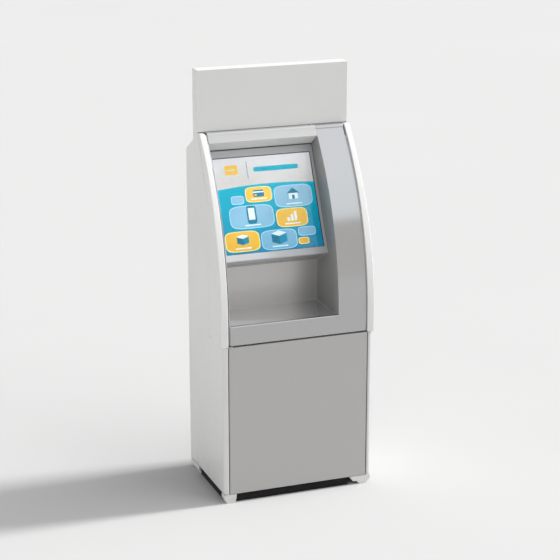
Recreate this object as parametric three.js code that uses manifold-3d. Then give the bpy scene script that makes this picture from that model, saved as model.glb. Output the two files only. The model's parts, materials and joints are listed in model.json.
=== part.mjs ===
// Free-standing cash kiosk: a sheet-metal cabinet with a hinged lower door, a top-hinged fascia
// that carries the touch screen and the delivery recess, and a header board.
// Millimetres, +Z up. Inside this file y runs from the front plane (0) to the back (DEPTH) and the
// whole group is then moved so that the origin is under the middle of the cabinet, on the floor.
import * as THREE from 'three';
import { mergeVertices } from 'three/addons/utils/BufferGeometryUtils.js';
import Module from 'manifold-3d';

const wasm = await Module();
wasm.setup();

// Driving dimensions
const HALF_W = 240;          // half of the cabinet's width
const DEPTH = 333;
const SHEET = 2;             // sheet-metal gauge
const GAP = 0.3;             // between pieces that touch
const FOOT_TOP = 27.2;
const BASE_Z = 27.5;         // underside of the base plate
const BODY_Z = 30;           // lower edge of the side panels and the door
const DOOR_TOP = 496;
const FASCIA_Z = 501.5;      // lower edge of the fascia
const SHELF_Z = 557;         // top of the recess shelf
const LIP_Z = 560;           // top edge of the fascia strip
const CURVE_START = 563;     // where the front leaves the vertical
const CURVE_R = 828;
const CHEEK_TOP = 1102;
const HEADER_Z = 1105;
const TOP_Z = 1291;
const HEADER_Y = 219.6;
const HEADER_BACK = 262.5;
const EDGE_W = 14.8;         // width of the side panels' front flanges
const CHEEK_IN = 223;        // inner face of a cheek
const FLARE = 5;             // how far a cheek stands out at the front plane
const FLARE_Y = 125;         // depth where that flare ends
const FASCIA_X = 219;        // half width of the fascia
const COLUMN_X = 129.6;      // inner side of the column
const WALL = 2.5;            // fascia gauge
const HINGE_Y = 209.5;       // fascia hinge axis
const HINGE_Z = 1092.5;
const KNUCKLE_R = 12;
const PIN_R = 4;
const TILT = THREE.MathUtils.degToRad(25);
const BEZEL = { y: 88.8, z: 732, h: 340.5, t: 6, left: 23, right: 8.3, end: 22 };
const RECESS_BACK = 178;
const DOOR_HALF = 223.7;
const DOOR_EDGE_R = 6.4;     // the door's pivot edge is round about its pivot axis
const DOOR_RETURN = 15;
const ROUND = 24;            // sides of a small round piece

const material = (color, roughness, metalness) =>
  new THREE.MeshStandardMaterial({ color, roughness, metalness });
const WHITE = () => material(0xdcdcda, 0.45, 0.1);
const GREY = () => material(0xa5a4a1, 0.35, 0.4);
const STEEL = () => material(0x8f9396, 0.4, 0.9);
const BLACK = () => material(0x202224, 0.5, 0.0);
const PLASTIC = () => material(0xb9c3cb, 0.4, 0.0);
const DARK = () => material(0x4a4e52, 0.5, 0.3);

// Shapes --------------------------------------------------------------------------------------

function box(x0, x1, y0, y1, z0, z1) {
  const g = new THREE.BoxGeometry(x1 - x0, y1 - y0, z1 - z0);
  return g.translate((x0 + x1) / 2, (y0 + y1) / 2, (z0 + z1) / 2);
}

function prism(points, length, hole) {
  const shape = new THREE.Shape(points.map(([a, b]) => new THREE.Vector2(a, b)));
  if (hole) shape.holes.push(new THREE.Path(hole.map(([a, b]) => new THREE.Vector2(a, b))));
  return new THREE.ExtrudeGeometry(shape, { depth: length, bevelEnabled: false });
}

const basis = (a, b, c) =>
  new THREE.Matrix4().makeBasis(new THREE.Vector3(...a), new THREE.Vector3(...b), new THREE.Vector3(...c));
// An outline of [y, z] points drawn out along x, of [x, y] points along z, of [x, z] points along y
const alongX = (pts, x0, x1) =>
  prism(pts, x1 - x0).applyMatrix4(basis([0, 1, 0], [0, 0, 1], [1, 0, 0])).translate(x0, 0, 0);
const alongZ = (pts, z0, z1, hole) => prism(pts, z1 - z0, hole).translate(0, 0, z0);
const alongY = (pts, y0, y1, hole) =>
  prism(pts, y1 - y0, hole).applyMatrix4(basis([1, 0, 0], [0, 0, 1], [0, -1, 0])).translate(0, y1, 0);

function rodX(r, x0, x1, y, z, sides = ROUND) {
  return new THREE.CylinderGeometry(r, r, x1 - x0, sides).rotateZ(Math.PI / 2)
    .translate((x0 + x1) / 2, y, z);
}
const rodZ = (r, z0, z1, x, y) =>
  new THREE.CylinderGeometry(r, r, z1 - z0, ROUND).rotateX(Math.PI / 2).translate(x, y, (z0 + z1) / 2);
const rodY = (r, y0, y1, x, z, sides = ROUND) =>
  new THREE.CylinderGeometry(r, r, y1 - y0, sides).translate(x, (y0 + y1) / 2, z);

const rect = (a0, a1, b0, b1) => [[a0, b0], [a1, b0], [a1, b1], [a0, b1]];

function arc(cx, cy, r, from, to, steps) {
  return Array.from({ length: steps + 1 }, (_, i) => {
    const t = THREE.MathUtils.degToRad(from + (to - from) * i / steps);
    return [cx + r * Math.cos(t), cy + r * Math.sin(t)];
  });
}

// Joins and cuts ------------------------------------------------------------------------------

function toSolid(geometry) {
  const g = geometry.clone();
  g.deleteAttribute('normal');
  g.deleteAttribute('uv');
  const m = mergeVertices(g, 1e-4);
  return new wasm.Manifold(new wasm.Mesh({
    numProp: 3,
    vertProperties: new Float32Array(m.attributes.position.array),
    triVerts: new Uint32Array(m.index.array),
  }));
}

function toGeometry(solid) {
  const m = solid.getMesh();
  const g = new THREE.BufferGeometry();
  g.setAttribute('position', new THREE.BufferAttribute(new Float32Array(m.vertProperties), 3));
  g.setIndex(new THREE.BufferAttribute(new Uint32Array(m.triVerts), 1));
  g.computeVertexNormals();
  return g;
}

const join = (first, ...more) =>
  toGeometry(more.reduce((s, g) => s.add(toSolid(g)), toSolid(first)));
const cut = (first, ...more) =>
  toGeometry(more.reduce((s, g) => s.subtract(toSolid(g)), toSolid(first)));
const common = (a, b) => toGeometry(toSolid(a).intersect(toSolid(b)));

// The mirror image in x, with its triangles turned round again
function mirrored(geometry) {
  const g = geometry.index ? geometry.toNonIndexed() : geometry.clone();
  g.scale(-1, 1, 1);
  const p = g.attributes.position;
  for (let i = 0; i < p.count; i += 3) {
    const b = [p.getX(i + 1), p.getY(i + 1), p.getZ(i + 1)];
    p.setXYZ(i + 1, p.getX(i + 2), p.getY(i + 2), p.getZ(i + 2));
    p.setXYZ(i + 2, ...b);
  }
  g.computeVertexNormals();
  return g;
}

// Profile of the front: vertical, then an arc that leans back
function frontY(z) {
  const h = Math.max(0, z - CURVE_START);
  return CURVE_R - Math.sqrt(CURVE_R ** 2 - h ** 2);
}
// The fascia lies behind the cheeks' edges, deeper towards the top
const fasciaY = (z) => frontY(z) + 3 + 5 * THREE.MathUtils.clamp((z - CURVE_START) / 500, 0, 1);

function curvePoints(fn, z0, z1, steps, inset = 0) {
  return Array.from({ length: steps + 1 }, (_, i) => {
    const z = z0 + (z1 - z0) * i / steps;
    return [fn(z) + inset, z];
  });
}

// A point in the screen's own plane: v up the glass, w back into the cabinet, as [y, z]
const onScreen = (v, w) => [
  BEZEL.y + v * Math.sin(TILT) + w * Math.cos(TILT), BEZEL.z + v * Math.cos(TILT) - w * Math.sin(TILT)];

const machine = new THREE.Group();
const add = (parent, name, geometry, mat) => {
  const mesh = new THREE.Mesh(geometry, mat);
  mesh.name = name;
  parent.add(mesh);
  return mesh;
};
const place = (name, geometry, mat) => add(machine, name, geometry, mat);

// Cabinet -------------------------------------------------------------------------------------

const LOCKS = {
  door: { y: 36, z: 365, inner: 218, cam: 211.5 },
  fascia: { y: 150, z: 622, inner: 224.5, cam: 219.6 },
};
const BARREL_R = 9;
const PLUG_R = 5.7;

function sidePanel(hasLocks) {
  const bend = 12;
  const outline = [
    [bend, BODY_Z], [bend, DOOR_TOP], [FLARE_Y + GAP, DOOR_TOP], [FLARE_Y + GAP, 900.6],
    [HEADER_Y + 2.4, CHEEK_TOP + 2], [HEADER_Y + 2.4, TOP_Z - SHEET - GAP],
    [HEADER_BACK, TOP_Z - SHEET - GAP], [HEADER_BACK, 1074], [268, 1072], [331, 1036],
    [DEPTH, 1030], [DEPTH, BODY_Z]];
  const sheet = alongX(outline, HALF_W - SHEET, HALF_W);
  const x = HALF_W - bend;
  const section = [
    [HALF_W, bend + 8], [HALF_W - SHEET, bend + 8], ...arc(x, bend, bend - SHEET, 0, -90, 5),
    [HALF_W - EDGE_W, SHEET], [HALF_W - EDGE_W, 0], ...arc(x, bend, bend, -90, 0, 6)];
  let panel = join(sheet, alongZ(section, BODY_Z, DOOR_TOP));
  if (hasLocks) {
    for (const { y, z } of Object.values(LOCKS)) {
      panel = cut(panel, rodX(BARREL_R + GAP, HALF_W - 5, HALF_W + 5, y, z));
    }
  }
  return panel;
}

// A hollow cheek: the curved edge beside the fascia, with an outer face that flares to the front
function cheek() {
  const outline = [
    ...curvePoints(frontY, DOOR_TOP + 0.5, CHEEK_TOP, 18), [HEADER_Y - GAP * 2, CHEEK_TOP],
    [FLARE_Y, 900], [FLARE_Y, DOOR_TOP + 0.5]];
  const flareAt = (y) => HALF_W + FLARE * (1 - y / FLARE_Y);
  const plan = [
    [CHEEK_IN, -5], [flareAt(-5), -5], [HALF_W, FLARE_Y], [HALF_W, 240], [CHEEK_IN, 240]];
  const body = common(alongX(outline, CHEEK_IN - 5, HALF_W + 10), alongZ(plan, 490, CHEEK_TOP + 5));
  const skin = 3;
  const pocket = [
    ...curvePoints(frontY, DOOR_TOP + 4, 1070, 14, skin), [FLARE_Y + 75, 1070],
    [FLARE_Y + 10, 900], [FLARE_Y + 10, DOOR_TOP + 4]];
  return cut(body, alongX(pocket, CHEEK_IN + skin, HALF_W - skin));
}

function backPanel() {
  let panel = box(-HALF_W + 2.4, HALF_W - 2.4, DEPTH - SHEET, DEPTH, BODY_Z, 1029.5);
  const vent = (x, z, w) => box(x - w / 2, x + w / 2, DEPTH - 5, DEPTH + 5, z - 3, z + 3);
  for (let i = 0; i < 7; i += 1) panel = cut(panel, vent(FAN.x, FAN.z - 42 + 14 * i, 100));
  for (let i = 0; i < 5; i += 1) panel = cut(panel, vent(120, 120 + 14 * i, 140));
  const { x, z, w, h } = INLET;
  return cut(panel, box(x - w, x + w, DEPTH - 5, DEPTH + 5, z - h, z + h));
}

// Sheet over the slope behind the header
function roofPanel() {
  const outline = [[263, 1073.6], [268, 1072], [331, 1036], [DEPTH, 1030.2],
    [DEPTH - SHEET, 1030.2], [329.4, 1034.6], [267.3, 1070], [263, 1071.5]];
  return alongX(outline, -HALF_W + 2.4, HALF_W - 2.4);
}

function headerFront() {
  const top = TOP_Z - SHEET;
  const outline = [
    [HEADER_Y, HEADER_Z], [HEADER_Y, TOP_Z - 1.5], [HEADER_Y + 1.5, TOP_Z], [HEADER_BACK, TOP_Z],
    [HEADER_BACK, top], [HEADER_Y + SHEET, top], [HEADER_Y + SHEET, HEADER_Z + SHEET],
    [HEADER_Y + 20, HEADER_Z + SHEET], [HEADER_Y + 20, HEADER_Z]];
  const inner = HALF_W - SHEET - GAP;
  const flange = (s) => box(s > 0 ? inner : -HALF_W - 1, s > 0 ? HALF_W + 1 : -inner,
    HEADER_Y + SHEET + GAP, HEADER_Y + 25, HEADER_Z - 1, HEADER_Z + SHEET + GAP);
  return cut(alongX(outline, -HALF_W, HALF_W), flange(1), flange(-1));
}

const PIVOT = { x: -DOOR_HALF + DOOR_EDGE_R, y: DOOR_EDGE_R, r: 2.2 };
const TRANSPORT = { x0: -162, x1: 2, y0: 205, y1: 255, top: 765 };

function dividerShelf() {
  const z = DOOR_TOP + 1;
  const inner = HALF_W - SHEET - GAP;
  const between = CHEEK_IN - GAP * 2;
  const outline = [
    [-between, 2.2], [PIVOT.x + 8, 2.2], [PIVOT.x + 8, 12], [between, 12], [between, FLARE_Y + 2],
    [inner, FLARE_Y + 2], [inner, DEPTH - 3], [-inner, DEPTH - 3], [-inner, FLARE_Y + 2],
    [-between, FLARE_Y + 2]];
  const { x0, x1, y0, y1 } = TRANSPORT;
  return cut(alongZ(outline, z, z + SHEET), box(x0 - 3, x1 + 3, y0 - 3, y1 + 3, z - 5, z + 5),
    box(80, 200, 270, 310, z - 5, z + 5));
}

// A bracket under the cabinet's corner, its inner end sloped, on a tapered pad
function foot(sign, front) {
  const outer = HALF_W * sign;
  const [y0, y1] = front ? [1, 30] : [250, 331];
  const padTop = 11;
  const right = sign > 0;
  const [reach, slope] = right ? [70, 13] : [40, 2];      // how far in the bracket goes
  const [near, far, wide] = right ? [16, 36, 47] : [7, 36, 37.5];   // the pad's foot, and its top
  const bracket = alongY([[outer, FOOT_TOP], [outer - sign, padTop],
    [outer - sign * (reach - slope), padTop], [outer - sign * reach, FOOT_TOP]], y0, y1);
  const pad = alongY([[outer - sign * 4, padTop + 0.5], [outer - sign * near, 0],
    [outer - sign * far, 0], [outer - sign * wide, padTop + 0.5]], y0 + 0.5, y1 - 1);
  return join(bracket, pad);
}

place('side_panel_right', sidePanel(true), WHITE());
place('side_panel_left', mirrored(sidePanel(false)), WHITE());
place('cheek_right', cheek(), WHITE());
place('cheek_left', mirrored(cheek()), WHITE());
place('base_plate', box(-238, 238, 3, 331, BASE_Z, BODY_Z - GAP), STEEL());
place('divider_shelf', dividerShelf(), STEEL());
place('top_rail', alongX([
  [225, 1080], [225, 1104], [260, 1104], [260, 1080], [257.5, 1080], [257.5, 1101.5],
  [227.5, 1101.5], [227.5, 1080]], -237.6, 237.6), STEEL());
place('header_front', headerFront(), WHITE());
place('header_back', box(-237.6, 237.6, HEADER_BACK - SHEET, HEADER_BACK, 1074, 1288.6), WHITE());
place('header_led_strip', join(box(-210, 210, 252, 260, 1190, 1206),
  box(-208, 208, 249.5, 253, 1193, 1203)), material(0xf4f4ee, 0.5, 0));
place('roof_panel', roofPanel(), WHITE());
const FAN = { x: -120, z: 900, half: 60, y0: 305, y1: 330.6 };
const INLET = { x: -185, z: 95, w: 15, h: 30 };
place('back_panel', backPanel(), WHITE());
for (const [side, sign] of [['left', -1], ['right', 1]]) {
  for (const [end, front] of [['front', true], ['rear', false]]) {
    place(`foot_${end}_${side}`, foot(sign, front), material(0xdedcd8, 0.5, 0));
  }
}

// Locks: a fixed barrel in the right side panel, a key plug that turns in it, and a cam on the plug
function lockBarrel({ y, z, inner }) {
  const outside = HALF_W + 1.5;
  return cut(join(rodX(BARREL_R, inner, outside, y, z), rodX(BARREL_R + 3, HALF_W + GAP, outside, y, z)),
    rodX(PLUG_R + GAP, inner - 1, outside + 1, y, z));
}
function lockPlug({ y, z, cam }) {
  const keyway = box(HALF_W - 6, HALF_W + 3, y - 0.9, y + 0.9, z - 3.5, z + 3.5);
  return cut(rodX(PLUG_R, cam + 2.8, HALF_W + 1.2, y, z), keyway);
}
// The cam points forward when the lock is open
function lockCam({ y, z, cam }) {
  return alongX([...arc(y, z, 6, -90, 90, 8), ...arc(y - 25, z, 4, 90, 270, 6)], cam, cam + 2.5);
}
for (const [name, lock] of Object.entries(LOCKS)) {
  place(`${name}_lock_barrel`, lockBarrel(lock), material(0xc9ccce, 0.2, 1));
  place(`${name}_lock_plug`, lockPlug(lock), material(0xb8a878, 0.3, 1));
  place(`${name}_lock_cam`, lockCam(lock), STEEL());
}

// Lower door ----------------------------------------------------------------------------------

function doorPanel() {
  const section = (t) => [
    [DOOR_HALF - t, DOOR_RETURN + (t ? 5 : 0)], [DOOR_HALF - t, 1.5 + t / 4], [DOOR_HALF - 1.5 - t / 4, t],
    ...arc(PIVOT.x, PIVOT.y, DOOR_EDGE_R - t, -90, -180, 5),
    [-DOOR_HALF + t, DOOR_RETURN + (t ? 5 : 0)]];
  const z0 = BODY_Z + 0.2;
  const hole = rodZ(PIVOT.r + 0.4, z0 - 2, DOOR_TOP + 2, PIVOT.x, PIVOT.y + 0.01);
  return cut(alongZ(section(0), z0, DOOR_TOP), alongZ(section(SHEET), z0 + SHEET, DOOR_TOP - SHEET), hole);
}
place('door_panel', doorPanel(), GREY());
place('door_stiffener', alongX([
  [2.3, 240], [2.3, 252], [12, 252], [12, 288], [2.3, 288], [2.3, 300], [4.3, 300], [4.3, 290],
  [14, 290], [14, 250], [4.3, 250], [4.3, 240]], -205, 205), STEEL());
place('door_catch', alongZ([
  [190, 2.3], [208, 2.3], [208, 45], [220, 45], [220, 51], [206, 51], [206, 4.3], [190, 4.3]],
  385, 405), STEEL());
place('door_pivot_bottom', rodZ(PIVOT.r, BODY_Z, BODY_Z + 8, PIVOT.x, PIVOT.y), STEEL());
place('door_pivot_top', rodZ(PIVOT.r, DOOR_TOP - 6, DOOR_TOP + 0.7, PIVOT.x, PIVOT.y), STEEL());

// Fascia --------------------------------------------------------------------------------------

// Behind the fascia's front its side walls reach back past the screen and down behind the recess
const wallBack = [[221.5, 1075], [250, 1035], [180, 885], [180, FASCIA_Z]];
const knuckle = arc(HINGE_Y, HINGE_Z, KNUCKLE_R, 175, 0, 9);

function fasciaPanel() {
  const column = alongX(
    [...curvePoints(fasciaY, FASCIA_Z, 1089, 18), ...knuckle, ...wallBack], COLUMN_X, FASCIA_X);
  const inside = alongX([
    ...curvePoints(fasciaY, FASCIA_Z + WALL, 1066, 16, 3), [205, 1078], [262, 1078], [262, FASCIA_Z + WALL]],
    COLUMN_X + WALL, FASCIA_X - WALL);
  const strip = alongX([
    [3, FASCIA_Z], [20, FASCIA_Z], [20, FASCIA_Z + WALL], [5.5, FASCIA_Z + WALL], [5.5, 555.5],
    [7.5, 557.5], [16, 557.5], [16, LIP_Z], ...arc(7, LIP_Z - 4, 4, 90, 180, 4)],
    -FASCIA_X + WALL, COLUMN_X + 1.5);
  const pinHole = rodX(PIN_R + 0.4, 203, FASCIA_X + 5, HINGE_Y, HINGE_Z);
  return cut(join(cut(column, inside), strip), pinHole);
}

function fasciaSideLeft() {
  const outline = [...curvePoints(fasciaY, FASCIA_Z, 1066, 16, 3), [215, 1066], ...wallBack.slice(1)];
  return alongX(outline, -FASCIA_X, -FASCIA_X + 2.2);
}

function topBeam() {
  const outline = [
    [fasciaY(1075), 1075], ...knuckle, [HINGE_Y, HINGE_Z - KNUCKLE_R], [196, 1073],
    [234.4, 1045.3], [233, 1043]];
  return cut(alongX(outline, -FASCIA_X + WALL, COLUMN_X - GAP),
    rodX(PIN_R + 0.4, -FASCIA_X - 1, -203, HINGE_Y, HINGE_Z));
}

// Slots through the recess's sloping ceiling: x, and w in the screen's frame
const NOTE_SLOT = { x0: -160, x1: 0, w0: 60, w1: 74 };
const RECEIPT_SLOT = { x0: 25, x1: 109, w0: 61, w1: 70.5 };
const CEILING = { w0: BEZEL.t + 0.5, w1: (RECESS_BACK - BEZEL.y) / Math.cos(TILT) };

function recessTray() {
  const x0 = -FASCIA_X + WALL + 0.2;
  const x1 = COLUMN_X - GAP;
  const { w0, w1 } = CEILING;
  const section = [
    [8, SHELF_Z - SHEET], [RECESS_BACK, SHELF_Z - SHEET], onScreen(0, w1), onScreen(SHEET, w1),
    onScreen(SHEET, w0), onScreen(0, w0), onScreen(0, w1 - SHEET), [RECESS_BACK - SHEET, SHELF_Z],
    [8, SHELF_Z]];
  const end = [
    [20, SHELF_Z - 1], [RECESS_BACK, SHELF_Z - 1], onScreen(1, w1), onScreen(1, w0 + 3), [20, 690]];
  const slot = ({ x0: a, x1: b, w0: c, w1: d }) =>
    alongX([onScreen(-5, c), onScreen(-5, d), onScreen(5, d), onScreen(5, c)], a, b);
  const tray = join(alongX(section, x0, x1), alongX(end, x0, x0 + SHEET));
  return cut(tray, slot(NOTE_SLOT), slot(RECEIPT_SLOT));
}

// A ring over a slot, on top of the ceiling, in the screen's frame
function throat({ x0, x1, w0, w1 }, v0) {
  const rim = 4;
  const ring = rect(x0 - rim, x1 + rim, w0 - rim, w1 + rim);
  return alongZ(ring, v0, 14, rect(x0 - 0.5, x1 + 0.5, w0 - 0.5, w1 + 0.5));
}

place('fascia_panel', fasciaPanel(), GREY());
place('fascia_side_left', fasciaSideLeft(), STEEL());
place('top_beam', topBeam(), GREY());
place('recess_tray', recessTray(), GREY());
place('fascia_catch', rodX(4, FASCIA_X + GAP, CHEEK_IN - GAP * 2, 164, 640, 16), STEEL());
place('fascia_pin_right', rodX(PIN_R, 204, CHEEK_IN - GAP, HINGE_Y, HINGE_Z), STEEL());
place('fascia_pin_left', rodX(PIN_R, -CHEEK_IN + GAP, -204, HINGE_Y, HINGE_Z), STEEL());
// A flat stay, stored upright in the gap beside the fascia, that swings forward to prop it open
place('fascia_stay', join(rodX(8, -237.6, -220, 165, 580),
  box(-222, -220, 158, 172, 580, 900)), STEEL());

// Screen: in a frame of its own, tilted back, with x across, z up the glass and y into the cabinet
const screen = new THREE.Group();
screen.position.set(0, BEZEL.y, BEZEL.z);
screen.rotation.x = -TILT;
machine.add(screen);
const S0 = -FASCIA_X + WALL + 0.3;
const S1 = COLUMN_X - GAP;
const GLASS_TOP = BEZEL.h - BEZEL.end;

const VIEW = { x0: S0 + BEZEL.left, x1: S1 - BEZEL.right, v0: BEZEL.end, v1: GLASS_TOP };

function bezel() {
  const { x0, x1, v0, v1 } = VIEW;
  const frame = alongY(rect(S0, S1, 0, BEZEL.h), 0, BEZEL.t, rect(x0, x1, v0, v1));
  const lip = alongX([[-2, -2], [4, -2], ...arc(4, 4, 4, -90, -180, 5), [-2, 4]], S0 - 2, S1 + 2);
  return cut(frame, lip);
}
function insideView(margin, w0, w1) {
  const { x0, x1, v0, v1 } = VIEW;
  return box(x0 - margin, x1 + margin, w0, w1, v0 - margin, v1 + margin);
}
add(screen, 'monitor_bezel', bezel(), PLASTIC());
add(screen, 'touch_glass', insideView(-0.4, 2, 5), material(0x9fb8c8, 0.1, 0));
add(screen, 'lcd_panel', insideView(5, BEZEL.t + 0.4, 18), BLACK());
add(screen, 'monitor_chassis', cut(insideView(-8, 18.4, 45), insideView(-10, 15, 43)), STEEL());
add(screen, 'note_throat', throat(NOTE_SLOT, SHEET + 2), BLACK());
add(screen, 'receipt_throat', throat(RECEIPT_SLOT, SHEET + GAP), BLACK());
add(screen, 'note_shutter', box(NOTE_SLOT.x0 - 3, NOTE_SLOT.x1 + 3, NOTE_SLOT.w0 - 2, NOTE_SLOT.w1 + 2,
  SHEET + GAP, SHEET + 1.6), STEEL());
for (const [side, a, b] of [['left', S0 + 0.5, VIEW.x0 + 7.6], ['right', VIEW.x1 - 7.6, S1 - 0.5]]) {
  const foldX = side === 'left' ? a : b - SHEET;
  add(screen, `monitor_bracket_${side}`, join(box(a, b, 20, 22, 60, 285),
    box(foldX, foldX + SHEET, 20, 40, 60, 285)), STEEL());
}

const READER = { x: 174.3, z: 920 };
const reader = new THREE.Group();
reader.position.set(READER.x, fasciaY(READER.z) + 4, READER.z);
reader.rotation.x = -Math.asin((READER.z - CURVE_START) / CURVE_R);
machine.add(reader);
add(reader, 'contactless_reader', box(-34, 34, 2, 20, -45, 45), DARK());

// Inside ----------------------------------------------------------------------------------------

const DISPENSER = { x0: -195, x1: 35, y0: 62, y1: 290, z0: 32, z1: 400 };
function dispenserChassis() {
  const { x0, x1, y0, y1, z0, z1 } = DISPENSER;
  const bay = box(x0 + 4, x1 - 4, y0 - 5, y1 - 20, z0 + 4, z0 + 214);
  const works = box(x0 + 3, x1 - 3, y0 + 3, y1 + 5, z0 + 218, z1 - 3);
  const exit = box(TRANSPORT.x0 + 2, TRANSPORT.x1 - 2, TRANSPORT.y0 + 2, TRANSPORT.y1 - 2, z1 - 9, z1 + 5);
  return cut(box(x0, x1, y0, y1, z0, z1), bay, works, exit);
}
function cassette(z) {
  const { x0, x1, y0, y1 } = DISPENSER;
  const grip = alongZ([[-110, 60], [-110, 46], [-50, 46], [-50, 60], [-56, 60], [-56, 52], [-104, 52],
    [-104, 60]], z + 40, z + 56);
  return join(box(x0 + 6, x1 - 6, y0 - 4, y1 - 24, z, z + 100), grip);
}
// The duct climbs behind the recess and turns forward over its ceiling to meet the note slot
const MOUTH = { v: 15, front: 56, back: 80 };
function noteTransport() {
  const { x0, x1, y0, y1, top } = TRANSPORT;
  const foot = DISPENSER.z1;
  const under = onScreen(MOUTH.v, MOUTH.back);
  const outline = [[y0, foot + GAP], [y1, foot + GAP], [y1, top], [167, top],
    onScreen(MOUTH.v, MOUTH.front), under, [y0, under[1]]];
  const path = [[y0 + 12, foot - 5], [y1 - 12, foot - 5], [y1 - 12, top - 12], [171.5, top - 12],
    onScreen(MOUTH.v - 5, MOUTH.front + 4), onScreen(MOUTH.v - 5, MOUTH.back - 4),
    [178, 724], [y0 + 12, 724]];
  return cut(alongX(outline, x0, x1), alongX(path, x0 + 3, x1 - 3));
}
place('dispenser_chassis', dispenserChassis(), DARK());
place('cash_cassette_lower', cassette(DISPENSER.z0 + 5), material(0x5b6f86, 0.5, 0));
place('cash_cassette_upper', cassette(DISPENSER.z0 + 110), material(0x5b6f86, 0.5, 0));
place('note_transport', noteTransport(), DARK());
place('computer', cut(box(70, 222, 60, 320, 32, 330), box(72, 220, 62, 325, 34, 328)), BLACK());
place('backup_battery', box(70, 222, 60, 220, 345, 445), BLACK());
place('equipment_shelf', box(65, 236, 56, 328, 332, 334), STEEL());

const PRINTER = { x0: 20, x1: 114, y1: 300, z0: onScreen(MOUTH.v, MOUTH.back)[1], z1: 785 };
function printerBracket() {
  const z = PRINTER.z0 - GAP;
  const outline = [
    [185, z], [330.6, z], [330.6, z - 37], [328.6, z - 37], [328.6, z - SHEET], [185, z - SHEET]];
  return alongX(outline, 16, 118);
}
function receiptPrinter() {
  const { x0, x1, y1, z0, z1 } = PRINTER;
  const outline = [onScreen(MOUTH.v, MOUTH.back), [y1, z0], [y1, z1], [176, z1],
    onScreen(MOUTH.v, MOUTH.front)];
  const { w0, w1 } = RECEIPT_SLOT;
  const slit = [onScreen(10, w0), onScreen(10, w1), onScreen(55, w1), onScreen(55, w0)];
  return cut(alongX(outline, x0, x1), alongX(slit, x0 + 5, x1 - 5));
}
const ROLL = { y: 262, z: PRINTER.z1 + 52, r: 38, core: 6.5, x0: 28, x1: 106 };
function rollHolder() {
  const { y, z } = ROLL;
  const foot = PRINTER.z1 + GAP;
  const side = [[y - 20, foot + 2], [y + 20, foot + 2], [y + 8, z + 10], [y - 8, z + 10]];
  const ear = (x) => alongX(side, x, x + 2.5);
  const base = box(20, 114, y - 20, y + 20, foot, foot + 3);
  return join(base, ear(20), ear(111.5), rodX(5.5, 21, 113, y, z));
}
place('printer_bracket', printerBracket(), STEEL());
place('receipt_printer', receiptPrinter(), BLACK());
place('roll_holder', rollHolder(), DARK());
place('paper_roll', cut(rodX(ROLL.r, ROLL.x0, ROLL.x1, ROLL.y, ROLL.z, 32),
  rodX(ROLL.core, ROLL.x0 - 1, ROLL.x1 + 1, ROLL.y, ROLL.z)), material(0xf2f2ee, 0.8, 0));

function fanFrame() {
  const { x, z, half, y0, y1 } = FAN;
  const shell = cut(box(x - half, x + half, y0, y1, z - half, z + half),
    rodY(56, y0 - 1, y1 + 1, x, z, 32));
  const arm = box(x - 58, x + 58, y0, y0 + 3, z - 4, z + 4);
  return join(shell, arm, rodY(18, y0, y0 + 3, x, z));
}
function fanRotor() {
  const { x, z, y0, y1 } = FAN;
  const blades = Array.from({ length: 7 }, (_, i) => {
    const blade = box(14, 52, -7, 7, -1, 1).rotateX(THREE.MathUtils.degToRad(40));
    return blade.rotateY(2 * Math.PI * i / 7).translate(x, (y0 + y1) / 2 + 2, z);
  });
  return join(rodY(18, y0 + 3.5, y1 - 3, x, z), ...blades);
}
place('fan_frame', fanFrame(), BLACK());
place('fan_rotor', fanRotor(), DARK());

// Mains inlet with its rocker switch above the socket
const ROCKER = { y: 326, z: 113 };
function inletModule() {
  const { x, z, w, h } = INLET;
  const body = join(box(x - w + GAP, x + w - GAP, 296, DEPTH - 0.5, z - h + GAP, z + h - GAP),
    box(x - w - 3, x + w + 3, DEPTH - SHEET - 3, DEPTH - SHEET - GAP, z - h - 3, z + h + 3));
  return cut(body, box(x - 12, x + 12, 306, DEPTH + 1, z - 22, z - 4),
    box(x - 9.5, x + 9.5, 314, DEPTH + 1, ROCKER.z - 12.5, ROCKER.z + 12.5));
}
function rocker() {
  const tilt = new THREE.Matrix4().makeRotationX(THREE.MathUtils.degToRad(10));
  return alongX([[-5, -5], [4, -10.5], [1.6, 0], [4, 10.5], [-5, 5]], -9, 9)
    .applyMatrix4(tilt).translate(INLET.x, ROCKER.y, ROCKER.z);
}
place('inlet_module', inletModule(), BLACK());
place('power_rocker', rocker(), material(0x7a1c1c, 0.4, 0));

const kiosk = new THREE.Group();
machine.position.y = -DEPTH / 2;
kiosk.add(machine);
export default kiosk;
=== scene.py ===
# Looks for the free-standing cash kiosk: materials, softened edges, the screen's picture, small
# fittings, light and camera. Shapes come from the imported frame. Metres, front faces -Y, +Z up.
import json
import math

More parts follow.
